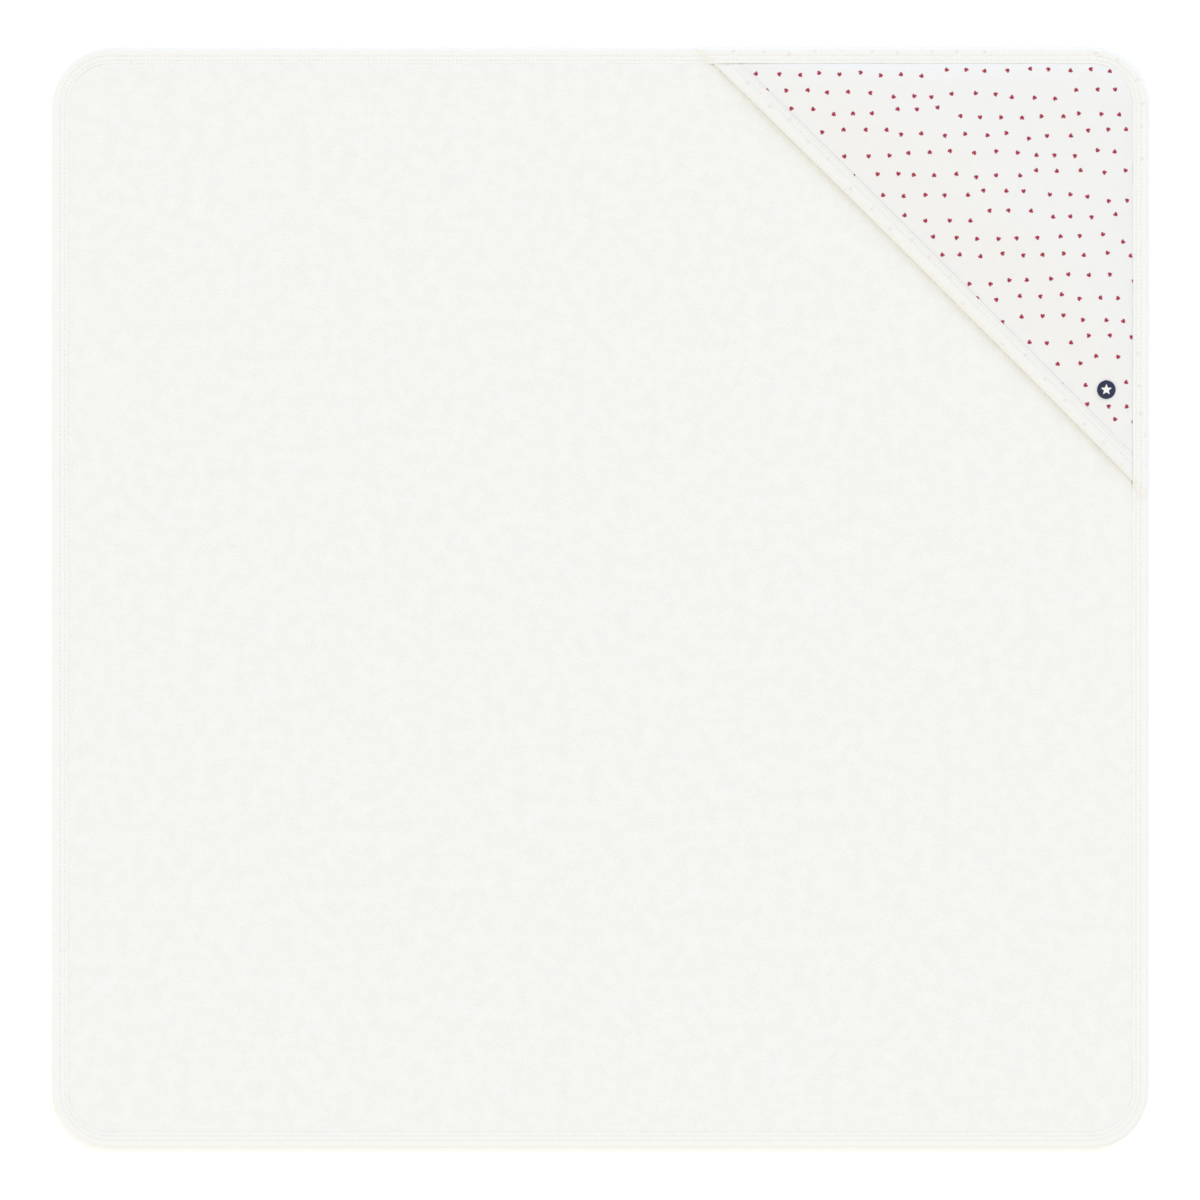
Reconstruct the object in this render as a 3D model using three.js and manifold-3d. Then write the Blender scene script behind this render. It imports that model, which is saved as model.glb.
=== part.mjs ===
// Hooded baby towel, lying flat and open with its hood uppermost. It is a nearly square terry
// cloth with a jersey tape folded round its edge, and a lined jersey hood across one corner.
//
// Millimetres, +Z up. The origin is on the surface that the towel lies on, under the middle of
// the towel. The hood is on the corner towards +X and +Y. Its free edge stands a little proud
// of the terry, which leaves the pocket that the baby's head goes into.
import * as THREE from "three";
import { mergeVertices } from "three/addons/utils/BufferGeometryUtils.js";
import Module from "manifold-3d";

const wasm = await Module();
wasm.setup();

// Clearances
const CLOTH_GAP = 0.3; // between cloths that lie on each other, and round a tucked edge
const FLOOR_GAP = 0.1; // between the lowest thread and the surface that the terry lies on

// Terry cloth
const TOWEL_WIDTH = 750; // along X, outside the edge binding
const TOWEL_LENGTH = 753; // along Y, outside the edge binding
const TOWEL_CORNER_RADIUS = 39;
const TERRY_THICKNESS = 3.6;
const TERRY_RIM_THICKNESS = 1; // where the binding presses the pile flat

// Edge binding: a tape folded round the terry's edge, with two rows of needle thread
const BINDING_WIDTH = 10.5;
const BINDING_CLOTH = 0.6;
const BINDING_OUTER_ROW = 5; // from the towel's edge to the middle of the thread
const BINDING_INNER_ROW = 8.2;
const BINDING_UNDER_ROW = 6.6;

// Thread
const THREAD_WIDTH = 0.5;
const THREAD_HEIGHT = 0.4;

// Hood
const HOOD_LEG_ALONG_X = 296; // from the towel's square corner to where the free edge meets it
const HOOD_LEG_ALONG_Y = 295;
const HOOD_CROWN = 8; // how far the middle of the free edge stands up from the terry
const HOOD_EDGE_BOW = 1; // how far the free edge curves towards the corner
const HOOD_LINING_THICKNESS = 2.3;
const HOOD_LINING_RIM_THICKNESS = 0.7; // where the hood's binding presses the pile flat
const HOOD_PANEL_CLOTH = 0.6;

// Binding along the hood's free edge
const HOOD_BINDING_WIDTH = 12.5;
const HOOD_BINDING_CLOTH = 0.6;
const HOOD_BINDING_OUTER_ROW = 8; // from the free edge to the middle of the thread
const HOOD_BINDING_INNER_ROW = 11;
const HOOD_BINDING_UNDER_ROW = 9.5;

// Round embroidered badge on the hood
const BADGE_RADIUS = 6.3;
const BADGE_FROM_SIDE = 29; // from the towel's edge to the badge's middle
const BADGE_FROM_LEG_END = 61; // from the hood's end on that edge, along Y
const BADGE_THICKNESS = 0.7;
const BADGE_STAR_RADIUS = 4;
const BADGE_STAR_WAIST = 0.45; // the star's inner radius, as a share of its outer radius
const BADGE_STAR_POINTS = 5;
const BADGE_STAR_THICKNESS = 0.4;
const BADGE_BACKING_RADIUS = 8;
const BADGE_BACKING_CLOTH = 0.5;

// Care label, inside the hood against the seam along Y
const LABEL_LENGTH = 30; // along X
const LABEL_WIDTH = 20; // along Y
const LABEL_CLOTH = 0.3;
const LABEL_FROM_SEAM = 3;
const LABEL_FROM_LEG_END = 164;

// Facets
const ARC_STEPS = 8; // in each quarter circle
const EDGE_STEPS = 12; // along the hood's free edge
const HOOD_FACETS = 24; // fanned round the hood's corner
const FAN_REACH = 1.3; // how far the fan goes, in shares of the distance to the free edge
const DISC_STEPS = 32;

// How far tools for cutting reach past what they cut
const OVERSHOOT = 20;
const TALL = 100;

// Heights of the towel's layers
const bindingBase = FLOOR_GAP + THREAD_HEIGHT + CLOTH_GAP;
const rimBase = bindingBase + BINDING_CLOTH + CLOTH_GAP;
const rimTop = rimBase + TERRY_RIM_THICKNESS;
const bindingTop = rimTop + CLOTH_GAP + BINDING_CLOTH;
const hoodBase = TERRY_THICKNESS + CLOTH_GAP;

// Heights of the hood's layers, above the surface that the hood's underside follows
const hoodBindingBase = THREAD_HEIGHT + CLOTH_GAP;
const liningRimBase = hoodBindingBase + HOOD_BINDING_CLOTH + CLOTH_GAP;
const liningTop = Math.max(HOOD_LINING_THICKNESS, liningRimBase + HOOD_LINING_RIM_THICKNESS);
const panelBase = liningTop + CLOTH_GAP;
const panelTop = panelBase + HOOD_PANEL_CLOTH;
const hoodBindingTop = panelTop + CLOTH_GAP + HOOD_BINDING_CLOTH;

// The seams that the hood's legs run along, at the inner edge of the towel's binding
const seamX = TOWEL_WIDTH / 2 - BINDING_WIDTH;
const seamY = TOWEL_LENGTH / 2 - BINDING_WIDTH;
const legX = HOOD_LEG_ALONG_X - BINDING_WIDTH;
const legY = HOOD_LEG_ALONG_Y - BINDING_WIDTH;

// The hood's free edge, from the seam along X to the seam along Y
const edgeStart = new THREE.Vector2(seamX - legX, seamY);
const edgeEnd = new THREE.Vector2(seamX, seamY - legY);
const alongEdge = edgeEnd.clone().sub(edgeStart).normalize();
const towardsCorner = new THREE.Vector2(-alongEdge.y, alongEdge.x);

// ---- Solids ----

// A closed three.js geometry as a solid that can be joined and cut.
function solidOf(geometry) {
  geometry.deleteAttribute("normal");
  geometry.deleteAttribute("uv");
  const merged = mergeVertices(geometry, 1e-4);
  return new wasm.Manifold(
    new wasm.Mesh({
      numProp: 3,
      vertProperties: merged.attributes.position.array,
      triVerts: new Uint32Array(merged.index.array),
    }),
  );
}

// An upright solid with the given outline in plan.
function prism(outline, low, high, curveSegments = ARC_STEPS) {
  const geometry = new THREE.ExtrudeGeometry(outline, {
    depth: high - low,
    bevelEnabled: false,
    curveSegments,
  });
  return solidOf(geometry.translate(0, 0, low));
}

// The towel's outline, moved inwards from its outside edge.
function towelOutline(inset) {
  const x = TOWEL_WIDTH / 2 - inset;
  const y = TOWEL_LENGTH / 2 - inset;
  const radius = TOWEL_CORNER_RADIUS - inset;
  const outline = new THREE.Shape();
  outline.absarc(x - radius, y - radius, radius, 0, Math.PI / 2);
  outline.absarc(radius - x, y - radius, radius, Math.PI / 2, Math.PI);
  outline.absarc(radius - x, radius - y, radius, Math.PI, 1.5 * Math.PI);
  outline.absarc(x - radius, radius - y, radius, 1.5 * Math.PI, 2 * Math.PI);
  return outline;
}

// A closed band that follows the towel's edge, between two distances from it.
function edgeBand(from, to, low, high) {
  const outside = prism(towelOutline(from), low, high);
  return outside.subtract(prism(towelOutline(to), low - 1, high + 1));
}

// The point at a distance from the free edge's chord, and at a place along it.
function edgePoint(place, distance) {
  return place.clone().addScaledVector(towardsCorner, distance);
}

// An upright strip that follows the hood's free edge, between two distances from it.
function freeEdgeStrip(from, to) {
  const start = edgeStart.clone().addScaledVector(alongEdge, -OVERSHOOT);
  const end = edgeEnd.clone().addScaledVector(alongEdge, OVERSHOOT);
  const middle = start.clone().add(end).multiplyScalar(0.5);
  const nearStart = edgePoint(start, from);
  const nearEnd = edgePoint(end, from);
  const nearPull = edgePoint(middle, from + 2 * HOOD_EDGE_BOW);
  const farStart = edgePoint(start, to);
  const farEnd = edgePoint(end, to);
  const farPull = edgePoint(middle, to + 2 * HOOD_EDGE_BOW);
  const outline = new THREE.Shape();
  outline.moveTo(nearStart.x, nearStart.y);
  outline.quadraticCurveTo(nearPull.x, nearPull.y, nearEnd.x, nearEnd.y);
  outline.lineTo(farEnd.x, farEnd.y);
  outline.quadraticCurveTo(farPull.x, farPull.y, farStart.x, farStart.y);
  return prism(outline, -TALL, TALL, EDGE_STEPS);
}

// One layer of the hood: a fan of facets that makes an elliptic cone with its point at the
// corner. Every layer has the same facets, so the layers stay the same distance apart all over.
function hoodFan(low, high) {
  const points = [seamX, seamY, hoodBase + low, seamX, seamY, hoodBase + high];
  for (let i = 0; i <= HOOD_FACETS; i += 1) {
    const turn = (Math.PI * i) / HOOD_FACETS;
    const across = (FAN_REACH * (1 + Math.cos(turn))) / 2;
    const up = (FAN_REACH * (1 - Math.cos(turn))) / 2;
    const x = seamX - across * legX;
    const y = seamY - up * legY;
    const z = hoodBase + FAN_REACH * HOOD_CROWN * Math.sin(turn);
    points.push(x, y, z + low, x, y, z + high);
  }
  const faces = [0, 2, 1, 1, 2, 3];
  for (let i = 1; i <= HOOD_FACETS; i += 1) {
    const here = 2 * i;
    const next = here + 2;
    faces.push(0, next, here);
    faces.push(1, here + 1, next + 1);
    faces.push(here, next, here + 1, here + 1, next, next + 1);
  }
  const last = 2 * HOOD_FACETS + 2;
  faces.push(0, 1, last, last, 1, last + 1);
  const geometry = new THREE.BufferGeometry();
  geometry.setAttribute("position", new THREE.Float32BufferAttribute(points, 3));
  geometry.setIndex(faces);
  return solidOf(geometry);
}

// The part of a hood layer between two distances from the free edge. It ends a clearance
// inside the towel's binding, so that nothing holds it down when the hood turns.
function hoodLayer(low, high, from, to = legX + legY) {
  const inside = prism(towelOutline(BINDING_WIDTH + CLOTH_GAP), -TALL, TALL);
  return hoodFan(low, high).intersect(inside).intersect(freeEdgeStrip(from, to));
}

// ---- The towel ----

function towelPanel() {
  const pile = prism(towelOutline(BINDING_WIDTH + CLOTH_GAP), 0, TERRY_THICKNESS);
  const rim = prism(towelOutline(BINDING_CLOTH + CLOTH_GAP), rimBase, rimTop);
  return pile.add(rim);
}

function edgeBinding() {
  const tape = edgeBand(0, BINDING_WIDTH, bindingBase, bindingTop);
  const fold = prism(towelOutline(BINDING_CLOTH), rimBase - CLOTH_GAP, rimTop + CLOTH_GAP);
  return tape.subtract(fold);
}

function edgeThread(row, low) {
  const half = THREAD_WIDTH / 2;
  return edgeBand(row - half, row + half, low, low + THREAD_HEIGHT);
}

// ---- The hood ----

const tuckedEdge = HOOD_BINDING_CLOTH + CLOTH_GAP;
const badgeMiddle = {
  x: TOWEL_WIDTH / 2 - BADGE_FROM_SIDE,
  y: seamY - legY + BADGE_FROM_LEG_END,
};

function badgeDisc(radius, low, high) {
  const outline = new THREE.Shape();
  outline.absarc(badgeMiddle.x, badgeMiddle.y, radius, 0, 2 * Math.PI);
  const disc = prism(outline, -TALL, TALL, DISC_STEPS);
  return hoodFan(low, high).intersect(disc);
}

function hoodLining() {
  const cloth = hoodLayer(0, liningTop, tuckedEdge);
  const underside = hoodFan(-1, liningRimBase).intersect(
    freeEdgeStrip(-OVERSHOOT, HOOD_BINDING_WIDTH + CLOTH_GAP),
  );
  const seat = badgeDisc(
    BADGE_BACKING_RADIUS + CLOTH_GAP,
    liningTop - BADGE_BACKING_CLOTH - CLOTH_GAP,
    panelBase,
  );
  return cloth.subtract(underside).subtract(seat);
}

function hoodPanel() {
  return hoodLayer(panelBase, panelTop, tuckedEdge);
}

function hoodEdgeBinding() {
  const tape = hoodLayer(hoodBindingBase, hoodBindingTop, 0, HOOD_BINDING_WIDTH);
  const fold = hoodFan(liningRimBase - CLOTH_GAP, panelTop + CLOTH_GAP).intersect(
    freeEdgeStrip(HOOD_BINDING_CLOTH, HOOD_BINDING_WIDTH + OVERSHOOT),
  );
  return tape.subtract(fold);
}

function hoodThread(row, low) {
  const half = THREAD_WIDTH / 2;
  return hoodLayer(low, low + THREAD_HEIGHT, row - half, row + half);
}

// ---- The badge and the label ----

const badgeBase = panelTop + CLOTH_GAP;
const starBase = badgeBase + BADGE_THICKNESS + CLOTH_GAP;

function badgeStar() {
  const outline = new THREE.Shape();
  for (let i = 0; i < 2 * BADGE_STAR_POINTS; i += 1) {
    const radius = BADGE_STAR_RADIUS * (i % 2 ? BADGE_STAR_WAIST : 1);
    const angle = Math.PI / 2 + (i * Math.PI) / BADGE_STAR_POINTS;
    const x = badgeMiddle.x + radius * Math.cos(angle);
    const y = badgeMiddle.y + radius * Math.sin(angle);
    if (i) outline.lineTo(x, y);
    else outline.moveTo(x, y);
  }
  const star = prism(outline, -TALL, TALL);
  return hoodFan(starBase, starBase + BADGE_STAR_THICKNESS).intersect(star);
}

function careLabel() {
  const box = new THREE.BoxGeometry(LABEL_LENGTH, LABEL_WIDTH, LABEL_CLOTH);
  box.translate(
    seamX - LABEL_FROM_SEAM - LABEL_LENGTH / 2,
    seamY - legY + LABEL_FROM_LEG_END,
    hoodBase + LABEL_CLOTH / 2,
  );
  return solidOf(box);
}

// ---- The scene graph ----

function cloth(color, roughness) {
  return new THREE.MeshStandardMaterial({ color, roughness, metalness: 0 });
}

function mesh(name, solid, material) {
  const { vertProperties, triVerts } = solid.getMesh();
  const geometry = new THREE.BufferGeometry();
  geometry.setAttribute("position", new THREE.BufferAttribute(vertProperties, 3));
  geometry.setIndex(new THREE.BufferAttribute(triVerts, 1));
  const named = new THREE.Mesh(geometry.toNonIndexed(), material);
  named.geometry.computeVertexNormals();
  named.name = name;
  return named;
}

const TERRY_WHITE = 0xf4f4ef;
const JERSEY_WHITE = 0xf8f9f3;
const PRINT_GROUND = 0xf5f5f2;
const THREAD_WHITE = 0xfafaf5;
const NAVY = 0x1d2a4a;
const STABILISER_WHITE = 0xededea;

const upperThread = bindingTop + CLOTH_GAP;
const hoodUpperThread = hoodBindingTop + CLOTH_GAP;

const towel = new THREE.Group();
towel.add(
  mesh("towel_panel", towelPanel(), cloth(TERRY_WHITE, 0.95)),
  mesh("edge_binding", edgeBinding(), cloth(JERSEY_WHITE, 0.85)),
  mesh("edge_stitch_outer", edgeThread(BINDING_OUTER_ROW, upperThread), cloth(THREAD_WHITE, 0.7)),
  mesh("edge_stitch_inner", edgeThread(BINDING_INNER_ROW, upperThread), cloth(THREAD_WHITE, 0.7)),
  mesh("edge_stitch_under", edgeThread(BINDING_UNDER_ROW, FLOOR_GAP), cloth(THREAD_WHITE, 0.7)),
  mesh("care_label", careLabel(), cloth(JERSEY_WHITE, 0.6)),
);

const hood = new THREE.Group();
hood.add(
  mesh("hood_panel", hoodPanel(), cloth(PRINT_GROUND, 0.85)),
  mesh("hood_lining", hoodLining(), cloth(TERRY_WHITE, 0.95)),
  mesh("hood_edge_binding", hoodEdgeBinding(), cloth(JERSEY_WHITE, 0.85)),
  mesh(
    "hood_stitch_outer",
    hoodThread(HOOD_BINDING_OUTER_ROW, hoodUpperThread),
    cloth(THREAD_WHITE, 0.7),
  ),
  mesh(
    "hood_stitch_inner",
    hoodThread(HOOD_BINDING_INNER_ROW, hoodUpperThread),
    cloth(THREAD_WHITE, 0.7),
  ),
  mesh("hood_stitch_under", hoodThread(HOOD_BINDING_UNDER_ROW, 0), cloth(THREAD_WHITE, 0.7)),
  mesh(
    "badge_ground",
    badgeDisc(BADGE_RADIUS, badgeBase, badgeBase + BADGE_THICKNESS),
    cloth(NAVY, 0.6),
  ),
  mesh("badge_motif", badgeStar(), cloth(THREAD_WHITE, 0.6)),
  mesh(
    "badge_backing",
    badgeDisc(BADGE_BACKING_RADIUS, liningTop - BADGE_BACKING_CLOTH, liningTop),
    cloth(STABILISER_WHITE, 0.9),
  ),
);

const hoodedTowel = new THREE.Group();
hoodedTowel.add(towel, hood);

export default hoodedTowel;
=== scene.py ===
import math

import bpy
import numpy as np
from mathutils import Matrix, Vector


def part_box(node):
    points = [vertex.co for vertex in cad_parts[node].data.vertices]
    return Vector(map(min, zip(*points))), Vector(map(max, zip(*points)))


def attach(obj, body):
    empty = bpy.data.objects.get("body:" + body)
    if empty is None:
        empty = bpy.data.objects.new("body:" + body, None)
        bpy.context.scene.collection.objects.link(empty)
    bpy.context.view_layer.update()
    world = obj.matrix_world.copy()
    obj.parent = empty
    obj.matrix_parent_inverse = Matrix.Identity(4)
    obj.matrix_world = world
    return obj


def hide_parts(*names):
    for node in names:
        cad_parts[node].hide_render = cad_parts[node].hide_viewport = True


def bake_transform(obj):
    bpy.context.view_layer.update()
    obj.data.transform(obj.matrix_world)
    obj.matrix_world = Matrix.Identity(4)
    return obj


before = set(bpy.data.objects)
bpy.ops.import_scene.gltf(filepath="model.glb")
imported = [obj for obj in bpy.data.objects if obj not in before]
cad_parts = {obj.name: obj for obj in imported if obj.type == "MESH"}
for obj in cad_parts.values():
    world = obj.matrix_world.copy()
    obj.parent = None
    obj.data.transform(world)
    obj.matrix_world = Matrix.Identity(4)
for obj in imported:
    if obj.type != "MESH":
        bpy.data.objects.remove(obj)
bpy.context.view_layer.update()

# ---- Sizes, in metres ----

MM = 0.001

towel_low, towel_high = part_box("edge_binding")
HALF_WIDTH = towel_high.x
HALF_LENGTH = towel_high.y
TAPE_BOTTOM = towel_low.z
TAPE_TOP = towel_high.z
PILE_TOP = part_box("towel_panel")[1].z
CORNER_RADIUS = 39 * MM

TAPE_WIDTH = 10.5 * MM
TAPE_CLOTH = 0.6 * MM
TAPE_ROWS = (5 * MM, 8.2 * MM)
TAPE_FOLD = 1.5 * MM  # how far in the fold at the outside edge is round
RIM_TOP = 2.95 * MM  # the terry where the tape presses it

HOOD_LEG_X = 296 * MM
HOOD_LEG_Y = 295 * MM
HOOD_CROWN = 8 * MM
HOOD_EDGE_BOW = 1 * MM
HOOD_EDGE_EASE = 1 * MM  # how far the soft free edge lies outside the line between its ends
HOOD_SEAM_TOP = 5.1 * MM  # the hood cloth where it runs under the towel's tape
HOOD_PLUMP = 2.2 * MM  # how much the lining's pile swells away from the seam
HOOD_CLOTH = 0.6 * MM
HOOD_PILE = 2.2 * MM
LAYER_GAP = 0.1 * MM
HOOD_LIP_GAP = 0.3 * MM  # between the hood's tape and the terry that it hangs down to
HOOD_LIP_REACH = 70 * MM  # how far the hood curves down towards its free edge

HOOD_TAPE_WIDTH = 12.5 * MM
HOOD_TAPE_ROWS = (8 * MM, 11 * MM)
HOOD_TAPE_OVER = 0.75 * MM  # above the hood cloth's upper face
HOOD_TAPE_UNDER = 2.4 * MM  # below it
HOOD_TAPE_FOLD = 2 * MM
HOOD_FOLD_DROOP = 0.6  # how far the fold's outermost line lies below the middle of its height
HOOD_CLOTH_INSET = 1.6 * MM  # from the free edge to the cloth and the lining inside the tape
UNDER_TAPE = 4 * MM  # how far the hood's layers reach under the towel's tape

STITCH_PITCH = 2.9 * MM
STITCH_LENGTH = 2.5 * MM
THREAD_RADIUS = 0.26 * MM

HEART_CELL = 14.1 * MM  # from one printed heart to the next
HEART_HALF = 1.35 * MM
HEART_ROW_SHIFT = 0.31  # shares of a cell: how much further along each next row begins,
HEART_STRAY = (0.17, 0.14)  # how far each heart strays by itself,
HEART_RUN_STRAY = (0.28, 0.44)  # and how far a run of hearts strays together
HEART_RUN = 3.0
HEART_SOFTNESS = 0.12  # of the printed outline
SHOW_THROUGH_CELL = 19 * MM  # the hearts that show through the tapes

# The seams that the hood's legs run along, and the hood's free edge between them
seam_x = HALF_WIDTH - TAPE_WIDTH
seam_y = HALF_LENGTH - TAPE_WIDTH
leg_x = HOOD_LEG_X - TAPE_WIDTH
leg_y = HOOD_LEG_Y - TAPE_WIDTH
free_start = np.array([seam_x - leg_x, seam_y])
free_end = np.array([seam_x, seam_y - leg_y])
free_length = float(np.linalg.norm(free_end - free_start))
along_free = (free_end - free_start) / free_length
towards_corner = np.array([-along_free[1], along_free[0]])

# The badge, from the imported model
badge_low, badge_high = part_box("badge_ground")
badge_x = (badge_low.x + badge_high.x) / 2
badge_y = (badge_low.y + badge_high.y) / 2
badge_radius = (badge_high.x - badge_low.x) / 2


# ---- Shapes as functions of the place ----


def smoothstep(t):
    t = np.clip(t, 0, 1)
    return t * t * (3 - 2 * t)


def ripples(x, y, wavelength, seed, waves=10):
    """Smooth noise of about one wavelength, mostly between -1 and 1."""
    random = np.random.default_rng(seed)
    total = np.zeros(np.broadcast(x, y).shape)
    for _ in range(waves):
        turn, phase = random.uniform(0, 2 * math.pi, 2)
        rate = 2 * math.pi / (wavelength * random.uniform(0.75, 1.4))
        total += np.sin(rate * (x * math.cos(turn) + y * math.sin(turn)) + phase)
    return total / math.sqrt(2 * waves)


def uneven(x, y, size, seed):
    """Ripples of a given height and wavelength."""
    height, wavelength = size
    return height * ripples(x, y, wavelength, seed)


straight_x = HALF_WIDTH - CORNER_RADIUS
straight_y = HALF_LENGTH - CORNER_RADIUS
quarter = CORNER_RADIUS * math.pi / 2
edge_runs = [0, straight_x, quarter, 2 * straight_y, quarter, 2 * straight_x]
edge_runs += [quarter, 2 * straight_y, quarter, straight_x]
edge_knots = np.cumsum(edge_runs)
EDGE_LENGTH = edge_knots[-1]
edge_turns = np.radians([-90, -90, 0, 0, 90, 90, 180, 180, 270, 270])
edge_centres_x = straight_x * np.array([0, 1, 1, 1, 1, -1, -1, -1, -1, 0])
edge_centres_y = straight_y * np.array([-1, -1, -1, 1, 1, 1, 1, -1, -1, -1])


def towel_edge(length, inset):
    """Places along the towel's outside edge, counted from the middle of its -Y side, moved inwards."""
    length = np.mod(length, EDGE_LENGTH)
    turn = np.interp(length, edge_knots, edge_turns)
    x = np.interp(length, edge_knots, edge_centres_x) + np.cos(turn) * (CORNER_RADIUS - inset)
    y = np.interp(length, edge_knots, edge_centres_y) + np.sin(turn) * (CORNER_RADIUS - inset)
    return x, y


def inside_edge(x, y):
    """How far a place lies inside the towel's outside edge."""
    past_x = np.abs(x) - straight_x
    past_y = np.abs(y) - straight_y
    beyond = np.hypot(np.maximum(past_x, 0), np.maximum(past_y, 0))
    return CORNER_RADIUS - beyond - np.minimum(np.maximum(past_x, past_y), 0)


def free_edge(share, inset):
    """Places along the hood's free edge, moved towards the corner."""
    share = np.asarray(share, float)
    out = inset - HOOD_EDGE_EASE + 4 * HOOD_EDGE_BOW * share * (1 - share)
    x = free_start[0] + share * free_length * along_free[0] + out * towards_corner[0]
    y = free_start[1] + share * free_length * along_free[1] + out * towards_corner[1]
    return x, y


def legs_of(x, y):
    """Distances from the two seams, as shares of the hood's legs."""
    return np.maximum((seam_x - x) / leg_x, 0), np.maximum((seam_y - y) / leg_y, 0)


def held_by_seam(x, y, reach):
    """1 at the seam and under the tape, falling to 0 away from it."""
    return np.exp(-np.maximum(inside_edge(x, y) - TAPE_WIDTH, 0) / reach)


HOOD_TAPE_SQUEEZE = 0.47  # share of its thickness that the hood's tape loses at the seams
SQUEEZE_REACH = 10 * MM


def squeezed(x, y):
    """The hood's tape is thinner where the towel's tape holds it."""
    return 1 - HOOD_TAPE_SQUEEZE * held_by_seam(x, y, SQUEEZE_REACH)


def inside_free_edge(x, y):
    """How far a place lies from the hood's free edge, towards the corner."""
    from_start_x = x - free_start[0]
    from_start_y = y - free_start[1]
    share = np.clip((from_start_x * along_free[0] + from_start_y * along_free[1]) / free_length, 0, 1)
    deep = from_start_x * towards_corner[0] + from_start_y * towards_corner[1]
    return deep + HOOD_EDGE_EASE - 4 * HOOD_EDGE_BOW * share * (1 - share)


def hood_tape_depth(x, y):
    """From the hood cloth's upper face down to the underside of the hood's tape."""
    return HOOD_TAPE_UNDER * squeezed(x, y)


# Height and wavelength of each kind of unevenness
PILE_SWELL = (0.22 * MM, 130 * MM)
PILE_RIPPLE = (0.12 * MM, 34 * MM)
HOOD_FOLDS = (0.55 * MM, 62 * MM)
HOOD_WRINKLES = (0.16 * MM, 23 * MM)
HOOD_PUCKERS = (0.34 * MM, 13 * MM)
TAPE_WAVES = (0.06 * MM, 17 * MM)
TERRY_BACK = (0.02 * MM, 30 * MM)
LABEL_WAVES = (0.05 * MM, 12 * MM)

SOFT_START = 0.02  # rounds the foot of the hood's rise at the seams
PLUMP_REACH = 4 * MM  # from the seam, to where the lining is no longer squeezed
FOLDS_REACH = 25 * MM  # from the seam, to where the cloth is loose
PUCKER_START = 1.2 * MM
PUCKER_REACH = 9 * MM
LIP_START = 4 * MM  # from the free edge, where the cloth begins to rise from the terry
LIP_BLEND = 0.5 * MM


def pile_swell(x, y):
    """How the tips of the towel's pile rise and fall, without the single loops."""
    return uneven(x, y, PILE_SWELL, 7) + uneven(x, y, PILE_RIPPLE, 8)


def hood_top(x, y):
    """The upper face of the hood's printed cloth. It stands up as a low hollow, and its free edge
    hangs down to the terry."""
    across, up = legs_of(x, y)
    rise = 2 * HOOD_CROWN * (np.sqrt(across * up + SOFT_START**2) - SOFT_START)
    plump = HOOD_PLUMP * (1 - held_by_seam(x, y, PLUMP_REACH))
    loose = 1 - held_by_seam(x, y, FOLDS_REACH)
    folds = loose * (uneven(x, y, HOOD_FOLDS, 3) + uneven(x, y, HOOD_WRINKLES, 4))
    pulled = held_by_seam(x, y, PUCKER_REACH) * (1 - held_by_seam(x, y, PUCKER_START))
    puckers = pulled * uneven(x - y, 0 * x, HOOD_PUCKERS, 5)
    standing = HOOD_SEAM_TOP + rise + plump + folds + puckers
    resting = PILE_TOP + pile_swell(x, y) + HOOD_LIP_GAP + hood_tape_depth(x, y)
    above = standing - resting
    above = (above + np.hypot(above, LIP_BLEND)) / 2
    return standing - above * (1 - smoothstep((inside_free_edge(x, y) - LIP_START) / HOOD_LIP_REACH))


def terry_top(x, y):
    """The tips of the towel's pile, without the single loops. The tape presses it at the rim."""
    pressed = smoothstep((inside_edge(x, y) - TAPE_WIDTH + 0.9 * MM) / (1.6 * MM))
    return RIM_TOP + (PILE_TOP - RIM_TOP + pile_swell(x, y)) * pressed


# Where the hood's legs begin and end along the towel's edge
hood_leg_start = edge_knots[3] - (straight_y - (seam_y - leg_y))
hood_leg_end = edge_knots[4] + (straight_x - (seam_x - leg_x))

OVER_HOOD_RISE = 2.05 * MM  # how much higher the towel's tape lies over the hood's layers
CROSSING_RISE = 0.55 * MM  # and over the end of the hood's own tape besides
RISE_LENGTH = 4 * MM  # the slope up to either
STITCH_SPREAD = 0.7 * MM  # how far the dip along a row of stitches reaches


def over_hood(x, y):
    """1 where the towel's tape holds the hood's layers as well."""
    return smoothstep((inside_free_edge(x, y) + 2.5 * MM) / RISE_LENGTH)


def over_crossing(x, y):
    """1 where the towel's tape lies on the end of the hood's own tape."""
    past_tape = HOOD_TAPE_WIDTH + 3 * MM - inside_free_edge(x, y)
    return over_hood(x, y) * smoothstep(past_tape / RISE_LENGTH)


def tape_top(length, x, y):
    """The top of the towel's tape, before its cloth dips at the stitches."""
    raised = OVER_HOOD_RISE * over_hood(x, y) + CROSSING_RISE * over_crossing(x, y)
    return TAPE_TOP - 0.05 * MM + raised + uneven(length, 0 * length, TAPE_WAVES, 11)


def stitch_dip(inset, rows, depth):
    """How far the thread pulls the tape down."""
    return sum(depth * np.exp(-(((inset - row) / STITCH_SPREAD) ** 2)) for row in rows)


# ---- Meshes ----

UP = np.array([0.0, 0.0, 1.0])


def face_outwards(mesh):
    """Turns every face of a closed mesh over if they point inwards."""
    places = np.zeros(3 * len(mesh.vertices), np.float32)
    mesh.vertices.foreach_get("co", places)
    mesh.calc_loop_triangles()
    corners = np.zeros(3 * len(mesh.loop_triangles), np.int32)
    mesh.loop_triangles.foreach_get("vertices", corners)
    first, second, third = places.reshape(-1, 3)[corners.reshape(-1, 3)].transpose(1, 0, 2)
    if (first * np.cross(second, third)).sum() < 0:
        mesh.flip_normals()


def plan_uv(vertices, faces):
    """The corners of all faces on the plan, for cloth whose weave follows it."""
    return vertices[np.concatenate([np.array(face) for face in faces]), :2]


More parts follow.
